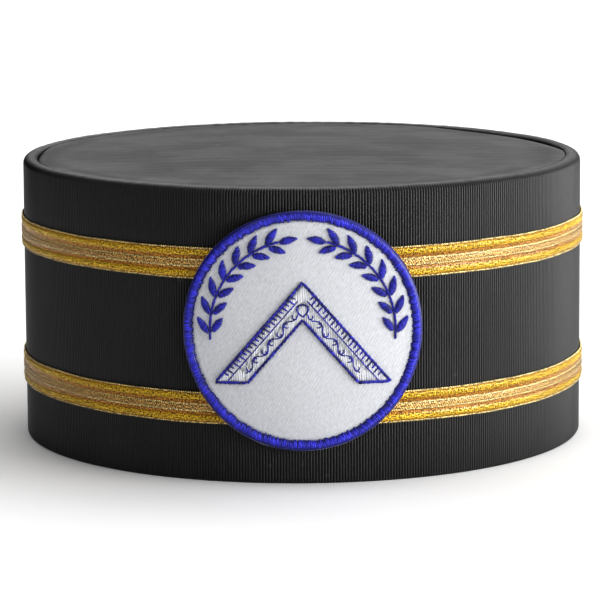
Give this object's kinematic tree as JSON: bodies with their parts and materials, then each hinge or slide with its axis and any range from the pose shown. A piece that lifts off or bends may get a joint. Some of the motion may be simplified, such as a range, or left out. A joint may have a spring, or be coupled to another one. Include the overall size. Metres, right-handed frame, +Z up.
{
  "type": "masonic crown cap",
  "caption": "Stiff straight-sided ceremonial cap: ribbed black oval band, flat top, gold braids and a round embroidered emblem patch at the front, hollow and open below for the head.",
  "frame": {"origin": "middle of the base of the bounding box, on the surface that the cap rests on", "axes": "+Z up from the hem to the top; the patch and the cap's front face -Y; +X is to the right of someone who looks at the front"},
  "size_m": [0.1896, 0.2054, 0.0938],
  "materials": {
    "band_cloth": "ribbed grosgrain, low sheen",
    "top_cloth": "fine ribbed faille, soft sheen",
    "gold_braid": "metallic woven braid",
    "white_twill": "matt twill",
    "blue_thread": "satin stitch",
    "white_thread": "satin stitch"
  },
  "bodies": {
    "root": {"side_band": "band_cloth", "top_panel": "top_cloth", "upper_braid": "gold_braid", "lower_braid": "gold_braid", "patch_ground": "white_twill", "patch_border": "blue_thread", "patch_square": "white_thread", "patch_branch_left": "blue_thread", "patch_branch_right": "blue_thread"}
  },
  "joints": []
}
